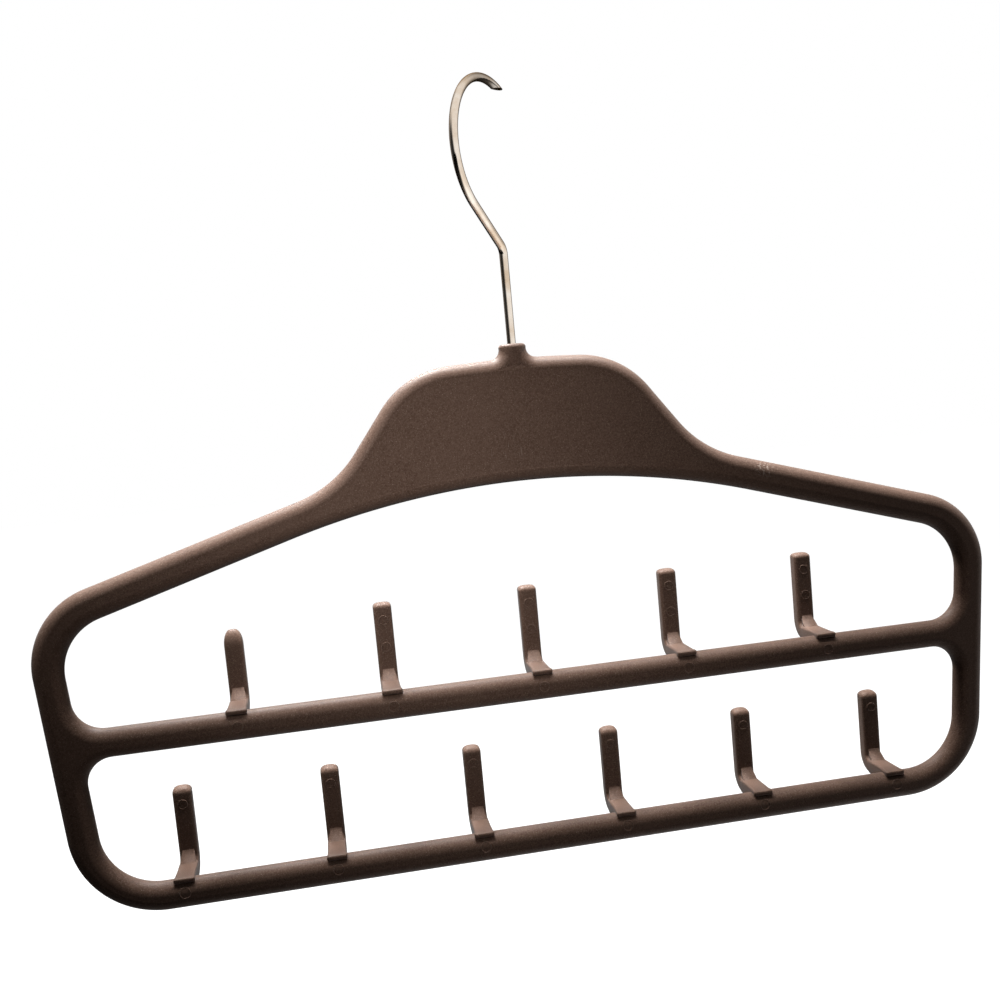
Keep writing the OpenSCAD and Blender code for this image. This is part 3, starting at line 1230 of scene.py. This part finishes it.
@dataclass(frozen=True)
class WireHook:
    """The bent wire: stem, lower bend, slanting run, open hook and slant-cut tip.

    Args:
        wire: Radius of the wire; like all sizes here, in millimetres.
        inside: Inside diameter of the hook.
        offset: Distance of the hook's centre from the stem's axis.
        bend_height: Height of the lower bend's corner.
        lean: Angle of the lower bend in degrees.
        bend: Radius of the lower bend.
        tip: Arc past the top in degrees.
        slant: Slant of the cut at the tip in degrees.
        reach: Arc in degrees over which the wire runs into the slanted cut.
        rim: The cut's rim: share past the run into the cut, and how much smaller the radius is.
        turn: Turn of the hook about its stem in degrees.
        foot: Height of the stem's lower end.
        plain: Places of the stem's plain sections: over its lower end, and under the bend.
        steps: Number of steps in the lower bend, in the hook, and into the cut.
        sides: Number of points round the wire.
        crease: Steepest angle in degrees that is shaded smoothly.
    """

    wire: float = 1.65
    inside: float = 50.0
    offset: float = 3.3
    bend_height: float = 238.3
    lean: float = 52.7
    bend: float = 5.2
    tip: float = 22.0
    slant: float = 63.0
    reach: float = 18.0
    rim: tuple[Point, ...] = ((1.0, 0.10), (1.004, 0.5))
    turn: float = -127.3
    foot: float = 196.0
    plain: Point = (6.0, 12.0)
    steps: tuple[int, int, int] = (18, 90, 20)
    sides: int = 28
    crease: float = 50.0

    def stem(self) -> list[tuple[Vector, Vector]]:
        """Lists the sections of the stem and the lower bend.

        Returns:
            The wire's middle in the hook's plane, with its direction, at each section.
        """
        lean = math.radians(self.lean)
        start = self.bend_height - self.bend * math.tan(lean / 2)
        heights = (self.foot, self.foot + self.plain[0], start - self.plain[1])
        listed = [(Vector((0.0, height)), Vector((0.0, 1.0))) for height in heights]
        for a in (lean * k / self.steps[0] for k in range(self.steps[0] + 1)):
            place = Vector((self.bend - self.bend * math.cos(a), start + self.bend * math.sin(a)))
            listed.append((place, Vector((math.sin(a), math.cos(a)))))
        return listed

    def curl(self, turn: float, out: float) -> Vector:
        """Finds a point of the hook's round part.

        Args:
            turn: Angle about the hook's centre in degrees.
            out: Distance outward from the wire's middle line.

        Returns:
            The point in the hook's plane.
        """
        lean, angle = math.radians(self.lean), math.radians(turn)
        radius = self.inside / 2 + self.wire
        run = (self.offset + radius * math.cos(lean)) / math.sin(lean)
        height = self.bend_height + run * math.cos(lean) + radius * math.sin(lean)
        centre = Vector((self.offset, height))
        return centre + Vector((math.cos(angle), math.sin(angle))) * (radius + out)

    def place(self, flat: Vector, depth: float) -> Vector:
        """Puts a point of the hook's plane in the model.

        Args:
            flat: The point in the plane.
            depth: Its distance across the plane.

        Returns:
            The point in metres.
        """
        sine, cosine = math.sin(math.radians(self.turn)), math.cos(math.radians(self.turn))
        x, y = cosine * flat.x - sine * depth, sine * flat.x + cosine * depth
        return LEVELS.place(x, y, flat.y)

    def build(self, name: str) -> Object:
        """Models the wire.

        Args:
            name: Name of the object.

        Returns:
            The wire.
        """
        around = [2 * math.pi * i / self.sides for i in range(self.sides)]
        rings = []
        for middle, along in self.stem():
            side = Vector((along.y, -along.x)) * self.wire
            rings.append(
                [self.place(middle + side * math.cos(a), self.wire * math.sin(a)) for a in around]
            )
        start, cut = -self.lean, 90.0 + self.tip - self.reach
        _, bends, slides = self.steps
        curve = [(start + (cut - start) * k / bends, 0.0, self.wire) for k in range(bends + 1)]
        curve += [(cut, k / slides, self.wire) for k in range(1, slides + 1)]
        curve += [(cut, share, self.wire - smaller) for share, smaller in self.rim]
        slope = math.degrees(math.tan(math.radians(self.slant)) / (self.inside / 2 + self.wire))
        for turn, share, radius in curve:
            ring = []
            for a in around:
                out = radius * math.cos(a)
                flat = self.curl(turn + (self.reach + out * slope) * share, out)
                ring.append(self.place(flat, radius * math.sin(a)))
            rings.append(ring)
        return Sheath(name, rings).done(self.crease)


@dataclass(frozen=True)
class Lamp:
    """A soft rectangular lamp.

    Args:
        name: Name of the lamp.
        place: Its place in metres.
        target: The point that it faces.
        size: Its width and height in metres.
        power: Its power in watts.
        spread: Angle in degrees that its grid lets out.
    """

    name: str
    place: Place
    target: Vector
    size: Point
    power: float
    spread: float = 150.0

    def build(self, spared: bpy.types.Collection) -> None:
        """Hangs the lamp.

        Args:
            spared: The pieces that it doesn't light.
        """
        data = bpy.data.lights.new(self.name, "AREA")
        data.shape = "RECTANGLE"
        data.size, data.size_y = self.size
        data.energy = self.power
        data.spread = math.radians(self.spread)
        lamp = bpy.data.objects.new(self.name, data)
        lamp.location = self.place
        facing = self.target - Vector(self.place)
        lamp.rotation_euler = facing.to_track_quat("-Z", "Y").to_euler()
        lamp.light_linking.receiver_collection = spared
        bpy.context.scene.collection.objects.link(lamp)


@dataclass(frozen=True)
class Studio:
    """Floor, light and camera.

    Args:
        lens: Focal length for a sensor of the given width, both in millimetres.
        sensor: Width of the sensor.
        clip: Nearest and farthest distance that the camera sees, in metres.
        station: The camera's place, in millimetres about the moulding.
        axes: The camera's right, up and backward directions.
        ambient: Strength of the surrounding light below and above.
        ambient_edge: Upward parts of a direction between which it brightens.
        shade: Brightness of the dark parts that the wire mirrors.
        card: Direction of the dark card that the wire mirrors.
        card_edge: Cosines of the angles to the card between which it darkens.
        behind_edge: Backward parts of a direction between which the mirrored room darkens.
        screen_edges: Sideways parts of a direction between which the white screen behind ends,
            and upward parts between which it starts.
        floor_size: Side of the floor in metres.
        floor_drop: Distance of the floor below the moulding in millimetres.
        floor_greys: Grey of the floor as it is seen, and as it lights the hanger.
        floor_glow: Glow of the floor far from the hanger, and under it.
        floor_pool: Distances in metres between which the glow changes.
        floor_edges: Places across between which the mirrored floor brightens, and places back
            between which it darkens, in metres.
        lamps: The lamps.
    """

    lens: float = 40.36
    sensor: float = 36.0
    clip: Point = (0.01, 50.0)
    station: Place = (-73.779, -429.073, 184.577)
    axes: tuple[Place, ...] = (
        (0.98362, -0.15500, -0.09180),
        (0.10540, 0.08150, 0.99110),
        (-0.14610, -0.98450, 0.09650),
    )
    ambient: Point = (0.012, 0.06)
    ambient_edge: Point = (-0.15, 0.9)
    shade: float = 0.03
    card: Place = (-0.955, -0.25, -0.16)
    card_edge: Point = (0.52, 0.82)
    behind_edge: Point = (0.1, 0.8)
    screen_edges: tuple[Point, Point] = ((0.30, 0.50), (0.02, 0.12))
    floor_size: float = 8.0
    floor_drop: float = 160.0
    floor_greys: Point = (0.12, 0.008)
    floor_glow: Point = (1.0, 0.8)
    floor_pool: Point = (0.14, 0.30)
    floor_edges: tuple[Point, Point] = ((-0.30, -0.02), (-0.1, 0.4))
    lamps: tuple[Lamp, ...] = (
        Lamp("left_softbox", (-0.24, 0.02, 0.58), LEVELS.place(-100, 60, 130), (0.14, 0.4), 9.0),
        Lamp("right_softbox", (0.20, 0.02, 0.58), LEVELS.place(100, 60, 130), (0.14, 0.4), 10.5),
        Lamp("back_softbox", (-0.10, 0.30, 0.50), LEVELS.place(0, 0, 100), (0.2, 0.5), 12.0),
        Lamp(
            "front_fill",
            (-0.45, -1.0, 0.35),
            LEVELS.place(-50, 0, 160),
            (0.12, 0.12),
            power=0.105,
            spread=13.5,
        ),
    )

    def camera(self) -> None:
        """Places the camera as the photograph was taken."""
        data = bpy.data.cameras.new("camera")
        data.sensor_width = self.sensor
        data.lens = self.lens
        data.clip_start, data.clip_end = self.clip
        camera = bpy.data.objects.new("camera", data)
        camera.matrix_world = Matrix([list(axis) for axis in self.axes]).transposed().to_4x4()
        camera.location = LEVELS.place(*self.station)
        bpy.context.scene.collection.objects.link(camera)
        bpy.context.scene.camera = camera

    def world(self) -> None:
        """Surrounds the hanger with dim light, but shows view and mirror a white room.

        The mirrored room has a dark card at one side and darkens towards the back.
        """
        world = bpy.data.worlds.new("studio")
        bpy.context.scene.world = world
        graph = Graph(world)
        direction = graph.node("ShaderNodeTexCoord").outputs["Generated"]
        parts = graph.node("ShaderNodeSeparateXYZ", Vector=direction).outputs
        fall = (1.0, self.shade)
        toward = graph.math("DOT_PRODUCT", direction, self.card, kind="ShaderNodeVectorMath")
        behind = graph.span(parts["Y"], self.behind_edge, fall)
        across = graph.span(graph.math("ABSOLUTE", parts["X"]), self.screen_edges[0], (1.0, 0.0))
        upward = graph.span(parts["Z"], self.screen_edges[1], (0.0, 1.0))
        screen = graph.math("MULTIPLY", across, upward)
        card = graph.span(toward, self.card_edge, fall)
        room = graph.math("MULTIPLY", card, graph.math("MAXIMUM", behind, screen))
        path = graph.node("ShaderNodeLightPath").outputs
        mirror = graph.math("MAXIMUM", path["Is Glossy Ray"], path["Is Transmission Ray"])
        shown = graph.math("MAXIMUM", path["Is Camera Ray"], mirror)
        brightness = graph.math("MAXIMUM", room, path["Is Camera Ray"])
        level = graph.span(parts["Z"], self.ambient_edge, self.ambient)
        dim = graph.node("ShaderNodeBackground", Color=WHITE, Strength=level)
        white = graph.node("ShaderNodeBackground", Color=WHITE, Strength=brightness)
        graph.finish(graph.mix(shown, dim, white), "ShaderNodeOutputWorld")

    def floor(self) -> None:
        """Lays the plain pale floor, which is dark at the left where only the wire mirrors it."""
        middle = LEVELS.place(0, 0, -self.floor_drop)
        bpy.ops.object.select_all(action="DESELECT")
        bpy.ops.mesh.primitive_plane_add(size=self.floor_size, location=middle)
        plane = bpy.context.object
        plane.name = "floor"
        bpy.ops.object.transform_apply(location=True, rotation=False, scale=False)
        graph = Graph(bpy.data.materials.new("pale_floor"))
        place = graph.object_place()
        parts = graph.node("ShaderNodeSeparateXYZ", Vector=place).outputs
        path = graph.node("ShaderNodeLightPath").outputs
        across = graph.span(parts["X"], self.floor_edges[0], (0.0, 1.0))
        bright = graph.math(
            "MULTIPLY", across, graph.span(parts["Y"], self.floor_edges[1], (1.0, self.shade))
        )
        mirror = graph.math("MULTIPLY", path["Is Glossy Ray"], bright)
        through = graph.math("MAXIMUM", path["Is Camera Ray"], path["Is Transmission Ray"])
        seen = graph.math("MAXIMUM", through, mirror)
        paint, dim = (
            graph.node("ShaderNodeBsdfDiffuse", Color=(grey, grey, grey, 1.0))
            for grey in self.floor_greys
        )
        under = graph.near(place, middle, self.floor_pool)
        strength = graph.span(under, (0.0, 1.0), self.floor_glow)
        glow = graph.node("ShaderNodeEmission", Color=WHITE, Strength=strength)
        lit = graph.node("ShaderNodeAddShader")
        for socket, shader in zip(lit.inputs, (paint, glow), strict=True):
            graph.put(socket, shader.outputs[0])
        plane.data.materials.append(graph.finish(graph.mix(seen, dim, lit)))

    def spare(self, piece: Object) -> bpy.types.Collection:
        """Keeps the lamps' glare off a piece, which then mirrors only the room.

        Args:
            piece: The piece.

        Returns:
            The collection that the lamps are told of.
        """
        spared = bpy.data.collections.new("spared_by_the_lamps")
        spared.objects.link(piece)
        spared.collection_objects[0].light_linking.link_state = "EXCLUDE"
        return spared

    def build(self, wire: Object) -> None:
        """Builds the whole studio.

        Args:
            wire: The bright wire, which the lamps spare.
        """
        self.camera()
        self.world()
        self.floor()
        spared = self.spare(wire)
        for lamp in self.lamps:
            lamp.build(spared)


def dress(piece: Object, finish: bpy.types.Material, slot: Slot, body: Body, *nodes: str) -> None:
    """Gives a piece its material and its place in the assembly.

    Args:
        piece: The finished object.
        finish: Its material.
        slot: The record's slot for that material; it is not used.
        body: The body that it rides on.
        *nodes: The nodes that it stands for.
    """
    piece.data.materials.clear()
    piece.data.materials.append(finish)
    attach(piece, body.value)
    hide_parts(*nodes)
    LOG.info("%s: %d faces", piece.name, len(piece.data.polygons))


def main() -> None:
    """Builds the hanger, its light and its camera."""
    logging.basicConfig(level=logging.INFO, format="%(name)s %(message)s")
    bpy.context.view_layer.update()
    plastic, plating = MouldedPlastic().make(), PlatedWire().make()
    moulding = Moulding()
    dress(moulding.build(), plastic, Slot.MOULDING, Body.MOULDING, "frame")
    for row in moulding.rows:
        for peg in row.build():
            dress(peg, plastic, Slot.MOULDING, Body.MOULDING, peg.name.replace("_piece", ""))
    wire = WireHook().build("wire_hook")
    dress(wire, plating, Slot.WIRE, Body.HOOK, "hook")
    Studio().build(wire)
    bpy.context.scene.view_settings.view_transform = "Standard"


if __name__ == "__main__":
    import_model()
    main()
